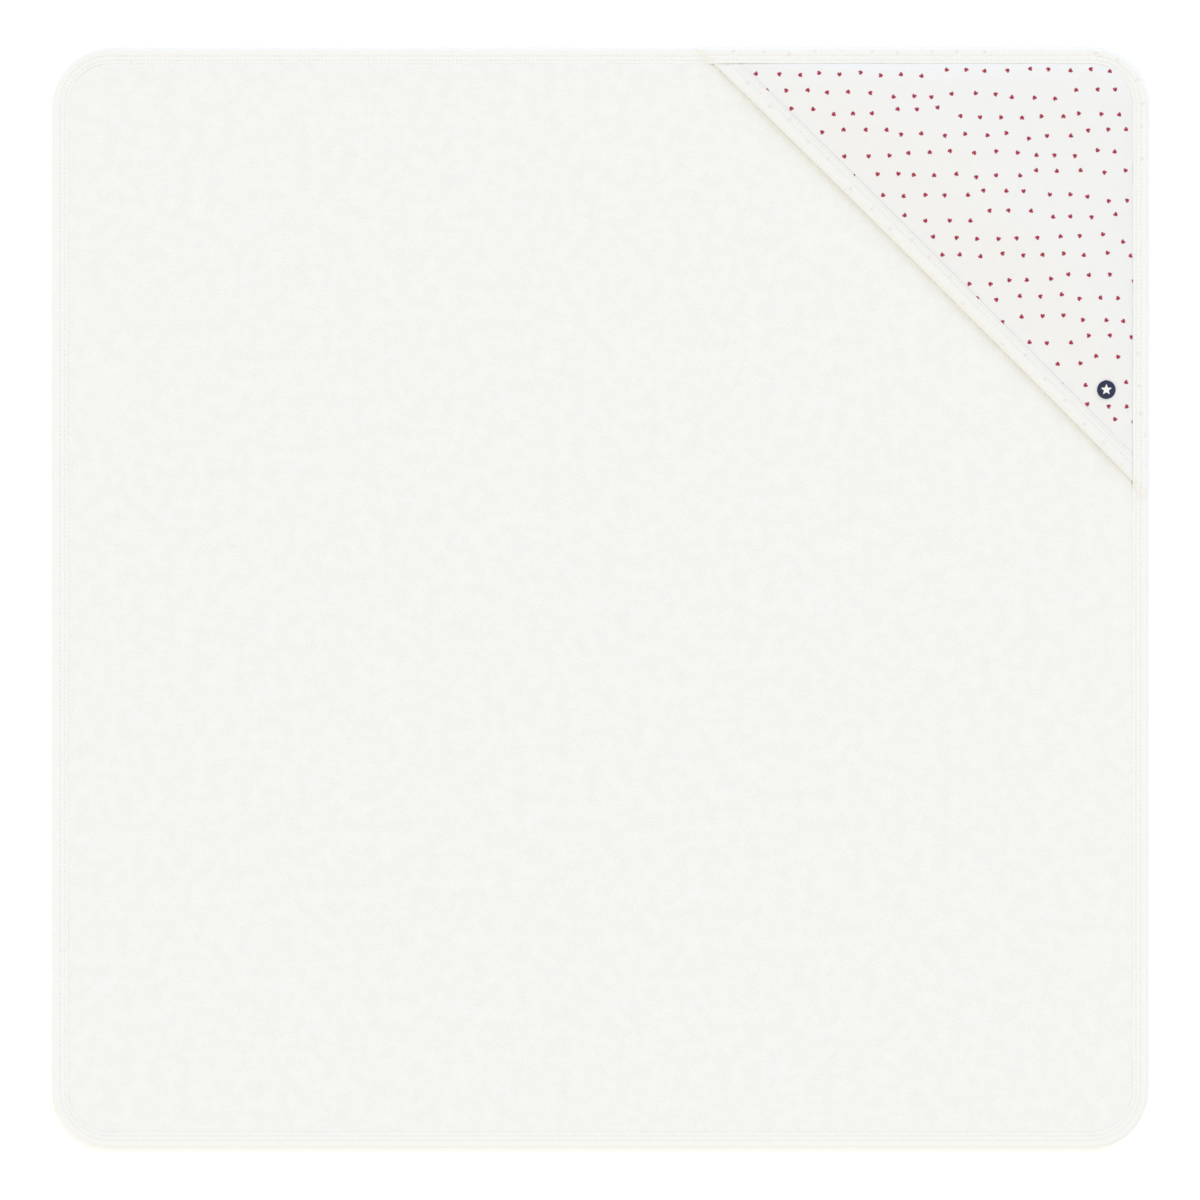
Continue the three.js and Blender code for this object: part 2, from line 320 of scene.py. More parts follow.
def new_piece(name, vertices, faces, corner_uv, material):
    mesh = bpy.data.meshes.new(name)
    mesh.from_pydata(np.asarray(vertices).reshape(-1, 3).tolist(), [], faces)
    layer = mesh.uv_layers.new(name="cloth")
    layer.data.foreach_set("uv", np.asarray(corner_uv, np.float32).ravel())
    face_outwards(mesh)
    mesh.shade_smooth()
    mesh.materials.append(material)
    piece = bpy.data.objects.new(name, mesh)
    bpy.context.scene.collection.objects.link(piece)
    return piece


def quads(rows, columns, wrap_rows, wrap_columns):
    """Corner numbers (row, column) of each quad of a grid. A wrapped side counts on past its end."""
    i, j = np.meshgrid(
        np.arange(rows - (not wrap_rows)), np.arange(columns - (not wrap_columns)), indexing="ij"
    )
    i, j = i.ravel(), j.ravel()
    return np.stack([i, i + 1, i + 1, i], 1), np.stack([j, j, j + 1, j + 1], 1)


def tube(name, points, around, along, material, closed):
    """A skin round a row of sections. points is (sections, points round it, 3), and around and along are
    the distances that its weave follows. along is for each section, or for each point."""
    rows, columns, _ = points.shape
    i, j = quads(rows, columns, closed, True)
    faces = ((i % rows) * columns + j % columns).tolist()
    along = np.broadcast_to(np.reshape(along, (rows, -1)), (rows, columns))
    along = np.concatenate([along, 2 * along[-1:] - along[-2:-1]])
    around = np.append(around, 2 * around[-1] - around[-2])
    uv = np.stack([along[i, j % columns], around[j]], -1).reshape(-1, 2)
    if not closed:
        faces.append(list(range(columns)))
        faces.append([(rows - 1) * columns + k for k in reversed(range(columns))])
        start_uv = np.stack([along[0], around[:columns]], 1)
        end_uv = np.stack([along[rows - 1], around[:columns]], 1)[::-1]
        uv = np.concatenate([uv, start_uv, end_uv])
    return new_piece(name, points, faces, uv, material)


def sheet(name, top, bottom, material):
    """A cloth between two faces. top is (rows, columns, 3), and bottom is the same or coarser: one point
    for so many of top's each way. Its weave follows the plan."""
    rows, columns, _ = top.shape
    low_rows, low_columns, _ = bottom.shape
    step = (rows - 1) // (low_rows - 1)
    upper = np.arange(rows * columns).reshape(rows, columns)
    lower = rows * columns + np.arange(low_rows * low_columns).reshape(low_rows, low_columns)
    i, j = quads(rows, columns, False, False)
    faces = upper[i, j].tolist()
    i, j = quads(low_rows, low_columns, False, False)
    faces += lower[i, j][:, ::-1].tolist()
    rims = (
        (upper[0], lower[0]),
        (upper[:, -1], lower[:, -1]),
        (upper[-1][::-1], lower[-1][::-1]),
        (upper[::-1, 0], lower[::-1, 0]),
    )
    for above, below in rims:
        for k in range(len(below) - 1):
            faces.append([below[k + 1], below[k]] + list(above[k * step : (k + 1) * step + 1]))
    faces = [[int(v) for v in face] for face in faces]
    vertices = np.concatenate([top.reshape(-1, 3), bottom.reshape(-1, 3)])
    return new_piece(name, vertices, faces, plan_uv(vertices, faces), material)


def fold_section(width, cloth, rows, dip, fold, droop=0.0):
    """A tape folded in half, as points from its upper inner edge round the fold to the lower one and back
    inside: distance in from the fold, level from -1 to 1, and what is added to the height."""
    raw = [width, width - 0.03 * MM]  # the cut edges, rounded a little
    upper = np.linspace(width - 0.25 * MM, fold, 22)
    lower = np.linspace(fold, width - 0.25 * MM, 9)
    inner = np.linspace(width - 0.3 * MM, fold, 5)
    turn = np.radians(np.linspace(75, -75, 9))
    inner_turn = np.radians(np.linspace(-70, 70, 5))
    outer_fold = fold * (1 - np.cos(turn))
    inner_fold = cloth + (fold - cloth) * (1 - np.cos(inner_turn))
    inset = np.concatenate([raw, upper, outer_fold, lower, raw[::-1], inner, inner_fold, inner[::-1]])
    above = np.ones(len(raw) + len(upper))
    below = np.ones(len(lower) + len(raw))
    inside = np.ones(len(inner))
    level = np.concatenate([above, np.sin(turn), -below, -inside, np.sin(inner_turn), inside])
    level = level - droop * (1 - level**2)
    extra = np.concatenate(
        [
            [-0.75 * cloth, -0.3 * cloth],
            -stitch_dip(upper, rows, dip),
            0 * turn,
            stitch_dip(lower, rows, 0.5 * dip),
            [0.3 * cloth, 0.75 * cloth],
            cloth * inside,
            -cloth * np.sin(inner_turn),
            -cloth * inside,
        ]
    )
    return inset, level, extra


def stitches(name, route, count, material):
    """Single stitches laid end to end. route gives x, y and z at distances along the row. Each stitch is
    a thread of seven rings that thins at both ends, where it sinks into the cloth."""
    rings = np.array([-0.5, -0.44, -0.3, 0, 0.3, 0.44, 0.5])
    thick = np.array([0.45, 0.8, 1, 1.08, 1, 0.8, 0.45])
    sunk = np.array([0.55, 0.3, 0.08, 0, 0.08, 0.3, 0.55]) * MM
    turns = np.radians(np.arange(0, 360, 60))  # six points round each ring
    middles = (np.arange(count) + 0.5) * STITCH_PITCH
    at = middles[:, None] + rings * STITCH_LENGTH
    centre = np.stack(route(at), -1)
    ahead = np.stack(route(at + 0.1 * MM), -1) - centre
    ahead /= np.linalg.norm(ahead, axis=-1, keepdims=True)
    side = np.cross(UP, ahead)
    side /= np.linalg.norm(side, axis=-1, keepdims=True)
    up = np.cross(ahead, side)
    centre = centre - sunk[None, :, None] * UP
    radius = (THREAD_RADIUS * thick)[None, :, None, None]
    points = (
        centre[:, :, None]
        + radius * np.cos(turns)[:, None] * side[:, :, None]
        + radius * np.sin(turns)[:, None] * up[:, :, None]
    )
    return strands(name, points, at, material)


def strands(name, points, along, material):
    """Many short tubes as one piece. points is (tubes, rings, points round it, 3)."""
    tubes, rows, columns, _ = points.shape
    i, j = quads(rows, columns, False, True)
    one = i * columns + j % columns
    starts = np.arange(tubes) * rows * columns
    faces = (starts[:, None, None] + one).reshape(-1, 4).tolist()
    around = 2 * math.pi * THREAD_RADIUS * j / columns
    uv = np.stack([along[:, i], np.broadcast_to(around, (tubes, *around.shape))], -1).reshape(-1, 2)
    ends = np.concatenate([np.arange(columns), (rows - 1) * columns + np.arange(columns)[::-1]])
    caps = (starts[:, None] + ends).reshape(-1, columns)
    faces += caps.tolist()
    cap_uv = np.zeros((caps.size, 2))
    return new_piece(name, points, faces, np.concatenate([uv, cap_uv]), material)


# ---- Materials ----


class Weave:
    """A cloth's material: one Principled shader, and the nodes that feed its colour and its bump."""

    def __init__(self, name, colour, roughness, sheen=0.0, sheen_roughness=0.5):
        self.material = bpy.data.materials.new(name)
        self.material.use_nodes = True
        self.tree = self.material.node_tree
        self.shader = self.tree.nodes["Principled BSDF"]
        self.shader.inputs["Base Color"].default_value = (*colour, 1)
        self.shader.inputs["Roughness"].default_value = roughness
        self.shader.inputs["Specular IOR Level"].default_value = 0.3
        self.shader.inputs["Sheen Weight"].default_value = sheen
        self.shader.inputs["Sheen Roughness"].default_value = sheen_roughness
        self.material.diffuse_color = (*colour, 1)
        plan = self.add("ShaderNodeUVMap", {}, uv_map="cloth")
        self.place = plan.outputs["UV"]

    def add(self, kind, inputs, **settings):
        node = self.tree.nodes.new(kind)
        for key, value in settings.items():
            setattr(node, key, value)
        for key, value in inputs.items():
            self.put(node.inputs[key], value)
        return node

    def put(self, socket, value):
        if isinstance(value, bpy.types.NodeSocket):
            self.tree.links.new(value, socket)
        else:
            socket.default_value = value

    def math(self, operation, first, second=0.0, third=0.0):
        inputs = {0: first, 1: second, 2: third}
        return self.add("ShaderNodeMath", inputs, operation=operation).outputs[0]

    def vector(self, operation, first, second):
        return self.add("ShaderNodeVectorMath", {0: first, 1: second}, operation=operation).outputs[0]

    def split(self, vector):
        return self.add("ShaderNodeSeparateXYZ", {0: vector}).outputs

    def noise(self, size, detail=2.0, stretch=(1, 1, 1)):
        """Noise from 0 to 1 with spots of about the given size."""
        scaled = self.vector("MULTIPLY", self.place, tuple(s / size for s in stretch))
        inputs = {"Vector": scaled, "Scale": 1.0, "Detail": detail}
        return self.add("ShaderNodeTexNoise", inputs, noise_dimensions="2D").outputs["Fac"]

    def cells(self, size):
        """Distance to the middle of the nearest of many cells of the given size, from 0 to about 1."""
        scaled = self.vector("MULTIPLY", self.place, (1 / size, 1 / size, 1 / size))
        inputs = {"Vector": scaled, "Scale": 1.0, "Randomness": 1.0}
        return self.add("ShaderNodeTexVoronoi", inputs, voronoi_dimensions="2D").outputs["Distance"]

    def mix(self, share, first, second):
        node = self.add("ShaderNodeMix", {0: share}, data_type="RGBA")
        self.put(node.inputs[6], first if isinstance(first, bpy.types.NodeSocket) else (*first, 1))
        self.put(node.inputs[7], second if isinstance(second, bpy.types.NodeSocket) else (*second, 1))
        return node.outputs[2]

    def colour(self, value):
        self.put(self.shader.inputs["Base Color"], value)

    def bump(self, height, depth, strength=1.0):
        """height is from 0 to 1, and depth is in metres."""
        inputs = {"Height": height, "Distance": depth, "Strength": strength}
        normal = self.add("ShaderNodeBump", inputs).outputs[0]
        self.put(self.shader.inputs["Normal"], normal)

    def knit(self, wale, course):
        """Height of a jersey knit's face: columns of small V-shaped stitches."""
        slant = 1.3
        ripple = 0.3
        scaled = self.vector("MULTIPLY", self.place, (1 / wale, 1 / course, 1))
        x, y, _ = self.split(scaled)
        beside = self.math("ABSOLUTE", self.math("SUBTRACT", self.math("FRACT", x), 0.5))
        column = self.math("SINE", self.math("MULTIPLY", beside, 2 * math.pi))
        slanted = self.math("MULTIPLY_ADD", beside, slant, y)
        loop = self.math("SINE", self.math("MULTIPLY", slanted, 2 * math.pi))
        loop = self.math("MULTIPLY_ADD", loop, ripple, 1 - ripple)
        return self.math("MULTIPLY", self.math("ABSOLUTE", column), loop)

    def stray(self, place, random, share):
        """Moves a place by up to half a share to either side. random is from 0 to 1."""
        return self.math("MULTIPLY_ADD", self.math("SUBTRACT", random, 0.5), share, place)

    def hearts(self, cell):
        """1 inside the printed hearts, which lie in short rows, each turned its own way."""
        scaled = self.vector("MULTIPLY", self.place, (1 / cell, 1 / cell, 1))
        x, y, _ = self.split(scaled)
        row = self.math("FLOOR", y)
        x = self.math("MULTIPLY_ADD", row, HEART_ROW_SHIFT, x)
        column = self.math("FLOOR", x)
        corner = self.add("ShaderNodeCombineXYZ", {0: column, 1: row, 2: 0.0}).outputs[0]
        own = self.add("ShaderNodeTexWhiteNoise", {"Vector": corner}, noise_dimensions="2D")
        run = self.math("FLOOR", self.math("DIVIDE", column, HEART_RUN))
        run_corner = self.add("ShaderNodeCombineXYZ", {0: run, 1: row, 2: 0.0}).outputs[0]
        shared = self.add("ShaderNodeTexWhiteNoise", {"Vector": run_corner}, noise_dimensions="2D")
        own_x, own_y, _ = self.split(own.outputs["Color"])
        shared_x, shared_y, _ = self.split(shared.outputs["Color"])
        beside = self.math("SUBTRACT", self.math("FRACT", x), 0.5)
        above = self.math("SUBTRACT", self.math("FRACT", y), 0.5)
        beside = self.stray(beside, own_x, HEART_STRAY[0])
        above = self.stray(above, own_y, HEART_STRAY[1])
        beside = self.stray(beside, shared_x, HEART_RUN_STRAY[0])
        above = self.stray(above, shared_y, HEART_RUN_STRAY[1])
        turn = self.math("MULTIPLY", own.outputs["Value"], 2 * math.pi)
        local = self.add("ShaderNodeCombineXYZ", {0: beside, 1: above, 2: 0.0}).outputs[0]
        turned = self.add(
            "ShaderNodeVectorRotate", {"Vector": local, "Angle": turn}, rotation_type="Z_AXIS"
        ).outputs[0]
        x, y, _ = self.split(self.vector("MULTIPLY", turned, (cell / HEART_HALF, cell / HEART_HALF, 1)))
        x_squared = self.math("MULTIPLY", x, x)
        y_squared = self.math("MULTIPLY", y, y)
        disc = self.math("SUBTRACT", self.math("ADD", x_squared, y_squared), 1.0)
        lobes = self.math("MULTIPLY", x_squared, self.math("MULTIPLY", y_squared, y))
        inside = self.math("SUBTRACT", lobes, self.math("POWER", disc, 3.0))
        inputs = {"Value": inside, "From Min": -HEART_SOFTNESS, "From Max": HEART_SOFTNESS}
        return self.add("ShaderNodeMapRange", inputs).outputs[0]


TERRY_WHITE = (0.803, 0.803, 0.772)
TAPE_WHITE = (0.832, 0.834, 0.803)
HOOD_TAPE_WHITE = (0.808, 0.807, 0.780)
PRINT_WHITE = (0.798, 0.795, 0.773)
SHOW_THROUGH = (0.62, 0.60, 0.59)
SHOW_THROUGH_SHARE = 0.33
HEART_RED = (0.34, 0.012, 0.042)
NAVY = (0.018, 0.026, 0.07)
THREAD_WHITE = (0.86, 0.865, 0.82)


def toned(colour, share):
    """The same colour, darker or lighter."""
    return tuple(part * share for part in colour)


def terry_material(name):
    weave = Weave(name, TERRY_WHITE, 0.95, sheen=0.15)
    loop_size = 1.3 * MM
    yarn_size = 0.45 * MM
    patch_size = 10 * MM
    # Share of the colour given to painted shade in the gaps between the loops
    pile_gap_shade = 0.32
    loops = weave.math("SUBTRACT", 1.0, weave.cells(loop_size))
    yarn = weave.noise(yarn_size)
    height = weave.math("MULTIPLY_ADD", yarn, 0.3, loops)
    weave.bump(height, depth=0.4 * MM, strength=0.38)
    patches = weave.noise(patch_size, detail=4.0)
    patchy = weave.math("MULTIPLY", patches, 1 - pile_gap_shade)
    # Painted shade: the terry's colour is darker in the gaps between its loops, where the pile shades
    # itself, and lighter on the loops' tips. The slow patches are random tone of the cloth.
    tone = weave.math("MULTIPLY_ADD", loops, pile_gap_shade, patchy)
    weave.colour(weave.mix(tone, toned(TERRY_WHITE, 0.94), toned(TERRY_WHITE, 1.05)))
    return weave.material


def jersey(name, colour, roughness):
    weave = Weave(name, colour, roughness, sheen=0.1)
    weave.bump(weave.knit(wale=0.95 * MM, course=0.75 * MM), depth=0.12 * MM, strength=0.5)
    return weave


def printed_material():
    weave = jersey("printed_jersey", PRINT_WHITE, 0.85)
    patches = weave.noise(9 * MM, detail=3.0)
    cloth = weave.mix(patches, toned(PRINT_WHITE, 0.975), toned(PRINT_WHITE, 1.01))
    weave.colour(weave.mix(weave.hearts(HEART_CELL), cloth, HEART_RED))
    return weave.material


def tape_material(name, colour, width, start, end):
    """Thin knitted tape. Between start and end along it, the print below shows faintly through."""
    weave = jersey(name, colour, 0.85)
    patches = weave.noise(5 * MM, detail=3.0)
    cloth = weave.mix(patches, toned(colour, 0.98), toned(colour, 1.01))
    along, around, _ = weave.split(weave.place)
    past_start = weave.math("GREATER_THAN", along, start)
    before_end = weave.math("LESS_THAN", along, end)
    on_face = weave.math("LESS_THAN", around, width)
    over_print = weave.math("MULTIPLY", weave.math("MULTIPLY", past_start, before_end), on_face)
    shown = weave.math("MULTIPLY", weave.hearts(SHOW_THROUGH_CELL), over_print)
    shown = weave.math("MULTIPLY", shown, SHOW_THROUGH_SHARE)
    weave.colour(weave.mix(shown, cloth, SHOW_THROUGH))
    return weave.material


def thread_material(name, colour, twist):
    weave = Weave(name, colour, 0.5, sheen=0.2, sheen_roughness=0.3)
    along, around, _ = weave.split(weave.place)
    slanted = weave.math("MULTIPLY_ADD", around, 1.2, along)
    ply = weave.math("SINE", weave.math("MULTIPLY", slanted, 2 * math.pi / twist))
    weave.bump(weave.math("MULTIPLY_ADD", ply, 0.5, 0.5), depth=0.06 * MM, strength=0.6)
    weave.colour(weave.mix(weave.noise(0.4 * MM), toned(colour, 0.9), toned(colour, 1.04)))
    return weave.material


def satin_material():
    weave = Weave("label_satin", (0.86, 0.86, 0.83), 0.35, sheen=0.1)
    _, y, _ = weave.split(weave.place)
    floats = weave.math("SINE", weave.math("MULTIPLY", y, 2 * math.pi / (0.3 * MM)))
    weave.bump(weave.math("MULTIPLY_ADD", floats, 0.5, 0.5), depth=0.03 * MM, strength=0.5)
    patches = weave.noise(3 * MM, detail=3.0)
    weave.colour(weave.mix(patches, (0.83, 0.83, 0.8), (0.88, 0.88, 0.85)))
    return weave.material


def stabiliser_material():
    weave = Weave("stabiliser", (0.8, 0.8, 0.77), 0.9)
    fibres = weave.noise(0.7 * MM, detail=5.0, stretch=(1, 3, 1))
    weave.bump(fibres, depth=0.15 * MM, strength=0.7)
    weave.colour(weave.mix(fibres, (0.72, 0.72, 0.69), (0.84, 0.84, 0.81)))
    return weave.material


terry = terry_material("terry")
printed = printed_material()
binding = tape_material("binding_jersey", TAPE_WHITE, TAPE_WIDTH, hood_leg_start, hood_leg_end)
hood_binding = tape_material("hood_binding_jersey", HOOD_TAPE_WHITE, HOOD_TAPE_WIDTH, 0.0, free_length)
thread = thread_material("thread", THREAD_WHITE, 0.5 * MM)
navy_thread = thread_material("navy_thread", NAVY, 0.5 * MM)
satin = satin_material()
stabiliser = stabiliser_material()


# ---- The towel ----

TERRY_STEP = 2.8 * MM
ARC_ROWS = 36  # of the terry's grid, through each pair of round corners
LOWER_STEP = 4  # one point underneath for this many on top, each way
LOOP_HEIGHT = 0.09 * MM
RIM_LIFT = 1.6 * MM  # how far the terry's back rises inside the tape
EDGE_DIP = 0.17 * MM  # how far the thread pulls the towel's tape down
EDGE_SECTION_STEP = 3 * MM
THREAD_SUNK = 0.04 * MM
TAPE_HALF = 1.4 * MM  # half its thickness, for the weave round its fold
TAPE_WIDTH_WAVES = (0.012, 60 * MM)  # share of the width, and wavelength
LOOPER_RADIUS = 0.2 * MM
LOOPER_DROP = 0.25 * MM  # below the towel's tape
LOOPER_BOB = 0.07 * MM
LABEL_THICKNESS = 0.2 * MM
LABEL_GAP = 0.22 * MM  # above the tips of the pile
LABEL_CURL = 0.25 * MM


def towel_rows():
    """Heights on the plan of the rows of the terry's grid, closer where its corners are round, and how
    far each row reaches to either side."""
    radius = CORNER_RADIUS - TAPE_CLOTH - LAYER_GAP
    turns = np.radians(np.linspace(0, 90, ARC_ROWS + 1))
    straight = 2 * straight_y
    count = LOWER_STEP * round(straight / TERRY_STEP / LOWER_STEP)
    middle = np.linspace(-straight_y, straight_y, count + 1)
    low = -straight_y - radius * np.sin(turns[:0:-1])
    high = straight_y + radius * np.sin(turns[1:])
    reach_low = straight_x + radius * np.cos(turns[:0:-1])
    reach_high = straight_x + radius * np.cos(turns[1:])
    reach = np.concatenate([reach_low, np.full(count + 1, straight_x + radius), reach_high])
    return np.concatenate([low, middle, high]), reach


def towel_columns():
    """Places of the grid's lines across a row, as shares of its reach, closer at the tape's inner edge."""
    inner = seam_x / (HALF_WIDTH - TAPE_CLOTH - LAYER_GAP)
    near = 3 * MM / HALF_WIDTH
    count = LOWER_STEP * round(seam_x / TERRY_STEP / LOWER_STEP)
    plain = np.linspace(0, inner - near, count + 1)
    fine = np.linspace(inner - near, inner + near, 2 * LOWER_STEP + 1)
    rim = np.linspace(inner + near, 1, LOWER_STEP + 1)
    half = np.concatenate([plain, fine[1:], rim[1:]])
    return np.concatenate([-half[:0:-1], half])


def make_terry():
    y, reach = towel_rows()
    x = reach[:, None] * towel_columns()
    y = np.broadcast_to(y[:, None], x.shape)
    random = np.random.default_rng(21)
    loops = random.normal(0, 1, x.shape)
    inner = smoothstep((inside_edge(x, y) - TAPE_WIDTH + 1 * MM) / (3 * MM))
    z = terry_top(x, y) + LOOP_HEIGHT * np.clip(loops, -2, 2) * inner
    top = np.stack([x, y, z], -1)
    low_x = x[::LOWER_STEP, ::LOWER_STEP]
    low_y = y[::LOWER_STEP, ::LOWER_STEP]
    lifted = 1 - smoothstep((inside_edge(low_x, low_y) - TAPE_WIDTH - 1 * MM) / (5 * MM))
    low_z = 0.05 * MM + RIM_LIFT * lifted + np.abs(uneven(low_x, low_y, TERRY_BACK, 23))
    bottom = np.stack([low_x, low_y, low_z], -1)
    return sheet("terry_towel", top, bottom, terry)


def distances(inset, height):
    """How far each point of a tape's section lies along it."""
    return np.cumsum(np.hypot(np.diff(inset, prepend=inset[0]), np.diff(height, prepend=0)))


def make_edge_tape():
    inset, level, extra = fold_section(TAPE_WIDTH, TAPE_CLOTH, TAPE_ROWS, EDGE_DIP, TAPE_FOLD)
    count = round(EDGE_LENGTH / EDGE_SECTION_STEP)
    length = np.arange(count) * EDGE_LENGTH / count
    wide = 1 + uneven(length, 0 * length, TAPE_WIDTH_WAVES, 31)
    x, y = towel_edge(length[:, None], inset * wide[:, None])
    top = tape_top(length[:, None], x, y)
    z = (top + TAPE_BOTTOM) / 2 + level * (top - TAPE_BOTTOM) / 2 + extra
    around = distances(inset, level * TAPE_HALF)
    return tube("edge_tape", np.stack([x, y, z], -1), around, length, binding, True)


def upper_row(inset):
    def route(length):
        x, y = towel_edge(length, inset)
        return x, y, tape_top(length, x, y) - THREAD_SUNK

    return route


def looper_chain(name, route, count, width, material):
    """The looper's thread on the back of the stitching: it runs to and fro between the needle rows."""
    steps = 10
    length = np.arange(count * steps + 1) * STITCH_PITCH / steps
    phase = 2 * math.pi * length / STITCH_PITCH
    aside = width / 2 * np.sin(phase)
    bob = LOOPER_BOB * np.cos(2 * phase)
    centre = np.stack(route(length, aside, bob), -1)
    ahead = np.gradient(centre, axis=0)
    ahead /= np.linalg.norm(ahead, axis=-1, keepdims=True)
    side = np.cross(UP, ahead)
    side /= np.linalg.norm(side, axis=-1, keepdims=True)
    up = np.cross(ahead, side)
    turns = np.radians(np.arange(0, 360, 72))  # five points round the thread
    points = (
        centre[:, None]
        + LOOPER_RADIUS * np.cos(turns)[:, None] * side[:, None]
        + LOOPER_RADIUS * np.sin(turns)[:, None] * up[:, None]
    )
    return tube(name, points, LOOPER_RADIUS * turns, length, material, False)


def edge_under(length, aside, bob):
    x, y = towel_edge(length, sum(TAPE_ROWS) / 2 + aside)
    return x, y, TAPE_BOTTOM - LOOPER_DROP + bob


def make_label():
    low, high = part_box("care_label")
    rows = np.linspace(low.y, high.y, 21)
    columns = np.linspace(low.x, seam_x + 2 * MM, 36)
    y, x = np.meshgrid(rows, columns, indexing="ij")
    curl = LABEL_CURL * (np.abs(y - (low.y + high.y) / 2) / (high.y - low.y) * 2) ** 3
    away = smoothstep((seam_x - x) / (8 * MM))
    z = terry_top(x, y) + LABEL_GAP + away * (curl + uneven(x, y, LABEL_WAVES, 41))
    top = np.stack([x, y, z + LABEL_THICKNESS], -1)
    bottom = np.stack([x, y, z], -1)
    return sheet("care_label_ribbon", top, bottom, satin)


terry_towel = make_terry()
edge_tape = make_edge_tape()
edge_count = round(EDGE_LENGTH / STITCH_PITCH)
edge_outer = stitches("edge_thread_outer", upper_row(TAPE_ROWS[0]), edge_count, thread)
edge_inner = stitches("edge_thread_inner", upper_row(TAPE_ROWS[1]), edge_count, thread)
edge_looper = looper_chain(
    "edge_thread_under", edge_under, edge_count, TAPE_ROWS[1] - TAPE_ROWS[0], thread
)
label = make_label()


# ---- The hood ----


def free_share(share, inset):
    """The same share of every line along the free edge, with the ends cut along the seams."""
    start = (inset - UNDER_TAPE * math.sqrt(2)) / free_length
    return start + share * (1 - 2 * start)


HOOD_CORNER_GAP = 4 * MM  # along the seams, from the free edge's ends to the hood cloth's corners
HOOD_LINES = 241  # of points in the hood's cloth, from the free edge to the seams
HOOD_LOOP_HEIGHT = 0.06 * MM
HOOD_DIP = 0.14 * MM  # how far the thread pulls the hood's tape down
HOOD_TAPE_SECTIONS = 203
HOOD_TAPE_HALF = 1.9 * MM  # half its thickness, for the weave round its fold
HOOD_THREAD_SUNK = 0.02 * MM
HOOD_LOOPER_DROP = 0.15 * MM  # below the hood's tape
PILE_LOST_AT_SEAM = 0.6  # shares of its thickness that the lining loses at the seams,
PILE_LOST_REACH = 8 * MM
PILE_LOST_IN_TAPE = 0.55  # and inside the hood's tape
PILE_LEAST = 0.15 * MM


def hood_grid(across):
    """Places of the hood's cloth: straight lines from the free edge to the seams round the corner."""
    share = np.linspace(0, 1, HOOD_LINES)
    free_x, free_y = free_edge(free_share(share, HOOD_CLOTH_INSET), HOOD_CLOTH_INSET)
    sewn = hood_leg_start - hood_leg_end - 2 * HOOD_CORNER_GAP
    length = hood_leg_end + HOOD_CORNER_GAP + share * sewn
    sewn_x, sewn_y = towel_edge(length, TAPE_WIDTH - UNDER_TAPE)
    part = np.linspace(0, 1, across)
    part = 0.6 * part + 0.4 * smoothstep(part)
    x = free_x[:, None] + part * (sewn_x - free_x)[:, None]
    y = free_y[:, None] + part * (sewn_y - free_y)[:, None]
    return x, y


def make_hood_cloth():
    x, y = hood_grid(109)
    z = hood_top(x, y)
    top = np.stack([x, y, z], -1)
    bottom = np.stack([x, y, z - HOOD_CLOTH], -1)
    return sheet("hood_cloth", top, bottom, printed)


def make_hood_terry():
    x, y = hood_grid(101)
    high = hood_top(x, y) - HOOD_CLOTH - LAYER_GAP
    in_tape = 1 - smoothstep((inside_free_edge(x, y) - HOOD_TAPE_WIDTH) / (4 * MM))
    at_seam = held_by_seam(x, y, PILE_LOST_REACH)
    thick = HOOD_PILE * (1 - PILE_LOST_AT_SEAM * at_seam) * (1 - PILE_LOST_IN_TAPE * in_tape)
    room = hood_tape_depth(x, y) - TAPE_CLOTH - HOOD_CLOTH - 2 * LAYER_GAP
    thick = thick - in_tape * np.maximum(thick - np.maximum(room, PILE_LEAST), 0)
    loops = HOOD_LOOP_HEIGHT * np.clip(np.random.default_rng(51).normal(0, 1, x.shape), -2, 2)
    top = np.stack([x, y, high], -1)
    bottom = np.stack([x, y, high - thick + loops], -1)
    return sheet("hood_terry", top, bottom, terry)


def hood_tape_top(x, y):
    return hood_top(x, y) + HOOD_TAPE_OVER * squeezed(x, y)


def hood_tape_under(x, y):
    return hood_top(x, y) - hood_tape_depth(x, y)


def make_hood_tape():
    inset, level, extra = fold_section(
        HOOD_TAPE_WIDTH, TAPE_CLOTH, HOOD_TAPE_ROWS, HOOD_DIP, HOOD_TAPE_FOLD, HOOD_FOLD_DROOP
    )
    share = np.linspace(0, 1, HOOD_TAPE_SECTIONS)
    place = free_share(share[:, None], inset)
    x, y = free_edge(place, inset)
    high = hood_tape_top(x, y)
    low = hood_tape_under(x, y)
    z = (high + low) / 2 + level * (high - low) / 2 + extra
    around = distances(inset, level * HOOD_TAPE_HALF)
    return tube("hood_tape", np.stack([x, y, z], -1), around, place * free_length, hood_binding, False)


HOOD_ROW_END = 2 * MM  # how far each row of stitches runs on under the towel's tape


def along_hood(length, inset):
    """Places at distances along a row on the hood's tape."""
    start = (inset - HOOD_ROW_END) / free_length
    return free_edge(length / free_length + start, inset)


def hood_row(inset):
    def route(length):
        x, y = along_hood(length, inset)
        return x, y, hood_tape_top(x, y) - HOOD_THREAD_SUNK

    return route


def hood_under(length, aside, bob):
    x, y = along_hood(length, sum(HOOD_TAPE_ROWS) / 2 + aside)
    return x, y, hood_tape_under(x, y) - HOOD_LOOPER_DROP + bob


def row_count(inset):
    return int((free_length - 2 * inset + 2 * HOOD_ROW_END) / STITCH_PITCH)


def hood_stitches(name, inset):
    return stitches(name, hood_row(inset), row_count(inset), thread)


BADGE_FILL = 0.55 * MM  # height of the badge's middle above the cloth
BADGE_RING = 0.45 * MM  # height of the foot of the satin ring round it
BADGE_RING_ROUND = 0.4 * MM  # how much higher the ring's middle is
BADGE_RING_START = 0.84  # shares of the radius
BADGE_RING_MIDDLE = 0.92
BADGE_RING_HALF = 0.085
BADGE_THREAD = 0.05 * MM  # height of the single threads
BADGE_THREAD_PITCH = 0.42 * MM
BADGE_RING_THREADS = 72
BADGE_SUNK = 0.05 * MM


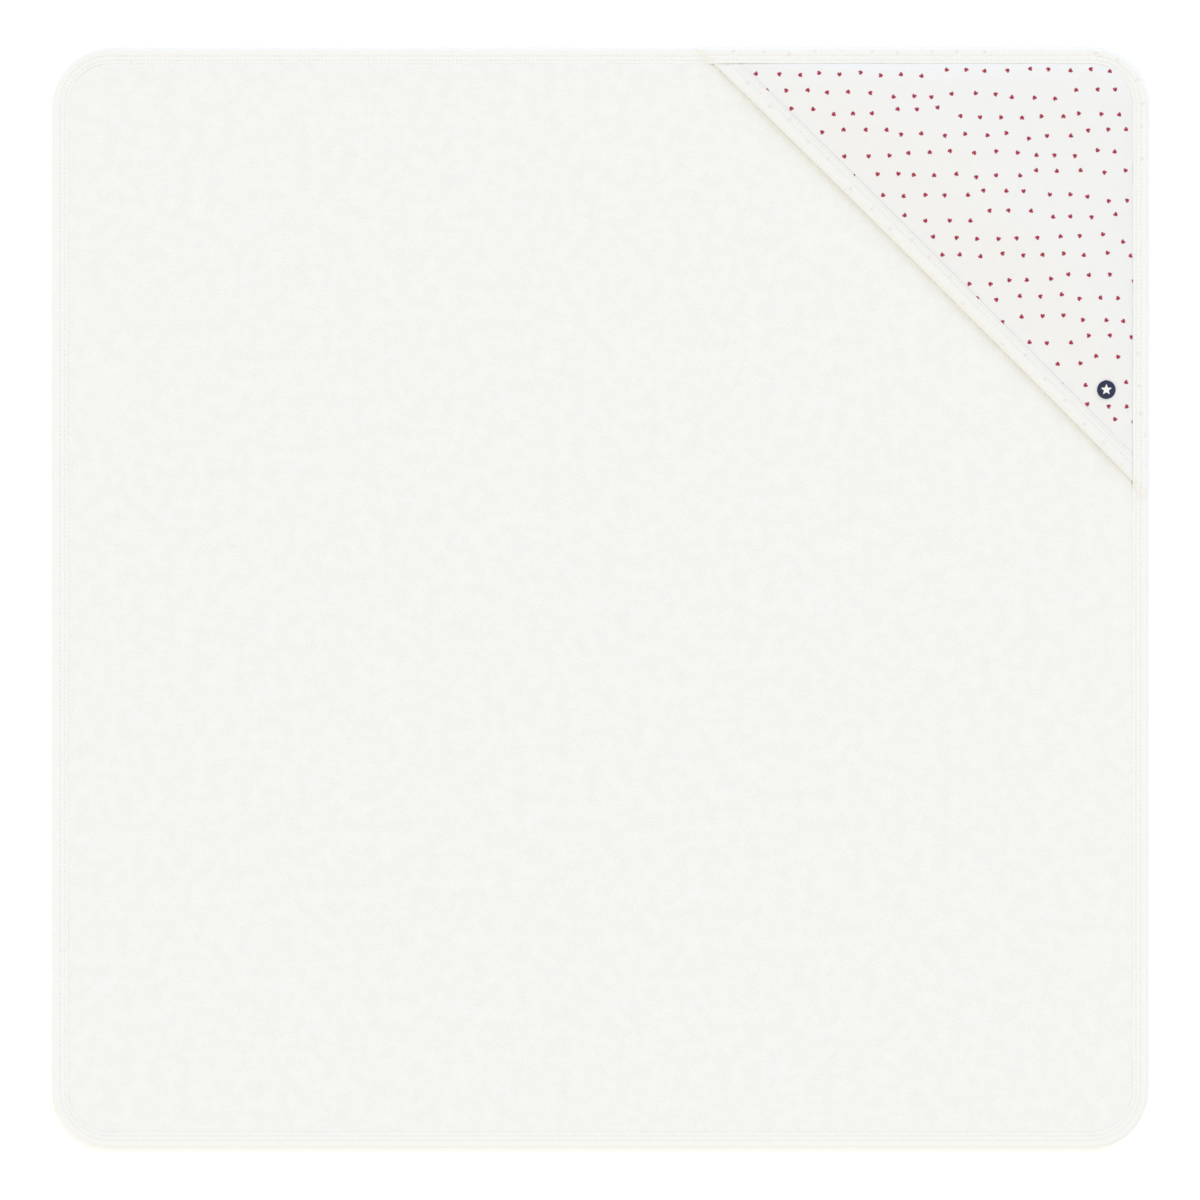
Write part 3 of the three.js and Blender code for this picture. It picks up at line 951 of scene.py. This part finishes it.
def badge_face():
    """Places on the badge, spoke by spoke, and their height above the cloth."""
    share = np.linspace(0, 1, 49)
    turn = np.linspace(0, 2 * math.pi, 145)
    radius, turn = np.meshgrid(share, turn, indexing="xy")
    x = badge_x + badge_radius * radius * np.cos(turn)
    y = badge_y + badge_radius * radius * np.sin(turn)
    ring = smoothstep((radius - BADGE_RING_START) / 0.05)
    rounded = np.sqrt(np.clip(1 - ((radius - BADGE_RING_MIDDLE) / BADGE_RING_HALF) ** 2, 0, 1))
    slanted = x * 0.5 + y * 0.87
    fill = BADGE_FILL + BADGE_THREAD * np.sin(2 * math.pi * slanted / BADGE_THREAD_PITCH)
    spokes = BADGE_THREAD * np.sin(BADGE_RING_THREADS * turn)
    satin_ring = BADGE_RING + BADGE_RING_ROUND * rounded + spokes
    return x, y, fill * (1 - ring) + satin_ring * ring


def make_badge():
    x, y, high = badge_face()
    base = hood_top(x, y)
    around = x.shape[0] - 1
    out = x.shape[1] - 1
    top = np.stack([x, y, base + high], -1)[:around]
    rim = top[:, -1].copy()
    rim[:, 2] = base[:around, -1] - BADGE_SUNK
    under = [[badge_x, badge_y, float(base[0, 0]) - BADGE_SUNK]]
    vertices = np.concatenate([[top[:, 0].mean(0)], top[:, 1:].reshape(-1, 3), rim, under])
    spokes = (1 + np.arange(around * out).reshape(around, out)).tolist()
    low = (1 + around * out + np.arange(around)).tolist()
    faces = []
    for k in range(around):
        after = (k + 1) % around
        here, following = spokes[k], spokes[after]
        faces.append([0, here[0], following[0]])
        for c in range(out - 1):
            faces.append([here[c], here[c + 1], following[c + 1], following[c]])
        faces.append([here[-1], low[k], low[after], following[-1]])
        faces.append([len(vertices) - 1, low[after], low[k]])
    return new_piece("badge_disc", vertices, faces, plan_uv(vertices, faces), navy_thread)


hood_cloth = make_hood_cloth()
hood_terry = make_hood_terry()
hood_tape = make_hood_tape()
hood_outer = hood_stitches("hood_thread_outer", HOOD_TAPE_ROWS[0])
hood_inner = hood_stitches("hood_thread_inner", HOOD_TAPE_ROWS[1])
hood_looper = looper_chain(
    "hood_thread_under",
    hood_under,
    row_count(sum(HOOD_TAPE_ROWS) / 2),
    HOOD_TAPE_ROWS[1] - HOOD_TAPE_ROWS[0],
    thread,
)
disc = make_badge()

STAR_POINTS = 5
STAR_REACH = 4 * MM
STAR_WAIST = 0.45  # share of the reach, between two points
STAR_HEIGHT = 0.35 * MM
STAR_ABOVE = 0.6 * MM  # its foot, above the cloth
STAR_SUNK = 0.15 * MM
STAR_THREAD = 0.03 * MM  # height of the single threads
STAR_THREAD_PITCH = 0.4 * MM
STAR_STEPS = 14  # of its grid, from the middle to the outline


def star_corner(number):
    radius = STAR_REACH * (STAR_WAIST if number % 2 else 1)
    turn = math.pi / 2 + number * math.pi / STAR_POINTS
    return np.array([radius * math.cos(turn), radius * math.sin(turn)])


def star_height(row, arm):
    """How high the satin stands, from the star's middle at row 0 to its outline at the last row."""
    edge = 1 - row / STAR_STEPS
    threads = STAR_THREAD * math.sin(2 * math.pi * arm * STAR_REACH / STAR_THREAD_PITCH)
    return STAR_HEIGHT * math.sqrt(max(0.0, 1 - (1 - edge) ** 4)) + threads * (edge > 0)


def make_star():
    """A plain star in raised satin stitch: a fan of triangles from its middle to each part of its
    outline, and the same below."""
    vertices, faces, rim = [], [], []
    for k in range(2 * STAR_POINTS):
        here, following = star_corner(k), star_corner(k + 1)
        row_starts = []
        for r in range(STAR_STEPS + 1):
            row_starts.append(len(vertices))
            for c in range(r + 1):
                side = (here * (r - c) + following * c) / STAR_STEPS
                arm = (c if k % 2 else r - c) / STAR_STEPS
                vertices.append((badge_x + side[0], badge_y + side[1], star_height(r, arm)))
        for r in range(STAR_STEPS):
            near, far = row_starts[r], row_starts[r + 1]
            for c in range(r + 1):
                faces.append([near + c, far + c, far + c + 1])
                if c < r:
                    faces.append([near + c, far + c + 1, near + c + 1])
        rim += [(row_starts[-1] + c, row_starts[-1] + c + 1) for c in range(STAR_STEPS)]
    places, same = np.unique(np.round(np.array(vertices), 7), axis=0, return_inverse=True)
    same = same.ravel().tolist()
    ground = hood_top(places[:, 0], places[:, 1]) + STAR_ABOVE
    top = places.copy()
    top[:, 2] += ground
    low = places.copy()
    low[:, 2] = ground - STAR_SUNK
    count = len(places)
    faces = [[same[v] for v in face] for face in faces]
    faces += [[v + count for v in face[::-1]] for face in faces]
    for here, following in rim:
        faces.append([same[here], same[here] + count, same[following] + count, same[following]])
    vertices = np.concatenate([top, low])
    return new_piece("badge_star", vertices, faces, plan_uv(vertices, faces), thread)


star = make_star()


def make_stabiliser():
    low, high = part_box("badge_backing")
    radius = (high.x - low.x) / 2
    part = np.linspace(-1, 1, 25)
    u, v = np.meshgrid(part, part, indexing="ij")
    x = badge_x + radius * u * np.sqrt(1 - v * v / 2)
    y = badge_y + radius * v * np.sqrt(1 - u * u / 2)
    under_cloth = hood_top(x, y) - HOOD_CLOTH
    top = np.stack([x, y, under_cloth - 0.05 * MM], -1)
    bottom = np.stack([x, y, under_cloth - 0.09 * MM], -1)
    return sheet("badge_stabiliser", top, bottom, stabiliser)


backing = make_stabiliser()

# ---- How the pieces move ----

BLEND_HEIGHT = 10 * MM  # of the ramp that gives each point its share
WHOLE_FOLLOW = 0.25  # from the corner, as a share of the legs, to where the middle moves wholly


def hood_share(x, y):
    """How far a place follows the hood: not at all at the seams, and wholly along the middle."""
    across, up = legs_of(x, y)
    total = np.maximum(across + up, 1e-6)
    middle = np.sin(math.pi * up / total)
    return middle * smoothstep(total / WHOLE_FOLLOW)


def follow_hood(piece):
    count = len(piece.data.vertices)
    real = np.zeros(count * 3, np.float32)
    piece.data.vertices.foreach_get("co", real)
    real = real.reshape(-1, 3)
    share = hood_share(real[:, 0], real[:, 1])
    told = real.copy()
    told[:, 2] = BLEND_HEIGHT * (0.5 - np.sin(np.arcsin(np.clip(1 - 2 * share, -1, 1)) / 3))
    piece.data.vertices.foreach_set("co", told.ravel())
    piece.data.update()
    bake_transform(piece)
    piece.data.vertices.foreach_set("co", real.ravel())
    piece.data.update()


PARTS = (
    (terry_towel, "towel", "terry", "towel_panel"),
    (edge_tape, "towel", "binding_jersey", "edge_binding"),
    (edge_outer, "towel", "thread", "edge_stitch_outer"),
    (edge_inner, "towel", "thread", "edge_stitch_inner"),
    (edge_looper, "towel", "thread", "edge_stitch_under"),
    (label, "towel", "label_satin", "care_label"),
    (hood_cloth, "hood", "printed_jersey", "hood_panel"),
    (hood_terry, "hood", "terry", "hood_lining"),
    (hood_tape, "hood", "binding_jersey", "hood_edge_binding"),
    (hood_outer, "hood", "thread", "hood_stitch_outer"),
    (hood_inner, "hood", "thread", "hood_stitch_inner"),
    (hood_looper, "hood", "thread", "hood_stitch_under"),
    (disc, "hood", "navy_thread", "badge_ground"),
    (star, "hood", "thread", "badge_motif"),
    (backing, "hood", "stabiliser", "badge_backing"),
)
for piece, body, slot, node in PARTS:
    if body == "hood":
        follow_hood(piece)
    else:
        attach(piece, body)
    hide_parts(node)

# ---- Floor, light and camera ----

FLOOR_HALF = 20
FLOOR_WHITE = (0.97, 0.97, 0.97)
WARM_WHITE = (1.0, 0.973, 0.917)
COOL_WHITE = (0.53, 0.676, 1.0)


def make_floor():
    mesh = bpy.data.meshes.new("floor")
    corners = [(-1, -1), (1, -1), (1, 1), (-1, 1)]
    mesh.from_pydata([(FLOOR_HALF * x, FLOOR_HALF * y, 0) for x, y in corners], [], [(0, 1, 2, 3)])
    floor = bpy.data.objects.new("floor", mesh)
    bpy.context.scene.collection.objects.link(floor)
    material = bpy.data.materials.new("floor")
    material.use_nodes = True
    shader = material.node_tree.nodes["Principled BSDF"]
    shader.inputs["Base Color"].default_value = (*FLOOR_WHITE, 1)
    shader.inputs["Roughness"].default_value = 0.9
    shader.inputs["Specular IOR Level"].default_value = 0.0
    mesh.materials.append(material)


def make_light(name, azimuth, elevation, spread, strength, colour):
    """A far, soft light. Azimuth 0 is towards +X and 90 towards +Y."""
    lamp = bpy.data.lights.new(name, "SUN")
    lamp.angle = math.radians(spread)
    lamp.energy = strength
    lamp.color = colour
    light = bpy.data.objects.new(name, lamp)
    light.rotation_euler = (0, math.radians(90 - elevation), math.radians(azimuth))
    bpy.context.scene.collection.objects.link(light)


def make_world(strength, colour):
    world = bpy.data.worlds.new("studio")
    bpy.context.scene.world = world
    world.use_nodes = True
    shade = world.node_tree.nodes["Background"]
    shade.inputs["Color"].default_value = (*colour, 1)
    shade.inputs["Strength"].default_value = strength


def make_camera():
    """Straight above, as the photograph was taken."""
    lens = 100
    sensor = 36
    seen = 0.822  # metres across the picture, at the height of the towel's tape
    middle_x = -0.2 * MM
    middle_y = -1.3 * MM
    camera = bpy.data.cameras.new("camera")
    camera.lens = lens
    camera.sensor_width = sensor
    camera.clip_start = 0.05
    camera.clip_end = 50
    holder = bpy.data.objects.new("camera", camera)
    holder.location = (middle_x, middle_y, TAPE_TOP + seen * lens / sensor)
    bpy.context.scene.collection.objects.link(holder)
    bpy.context.scene.camera = holder


make_floor()
make_world(0.9, WARM_WHITE)
# The low cool light leaves a warm shade at the hood's free edge, and the fill softens it.
make_light("key", azimuth=65, elevation=25, spread=36, strength=1.45, colour=COOL_WHITE)
make_light("fill", azimuth=225, elevation=35, spread=60, strength=0.8, colour=WARM_WHITE)
make_camera()
bpy.context.scene.view_settings.view_transform = "Standard"
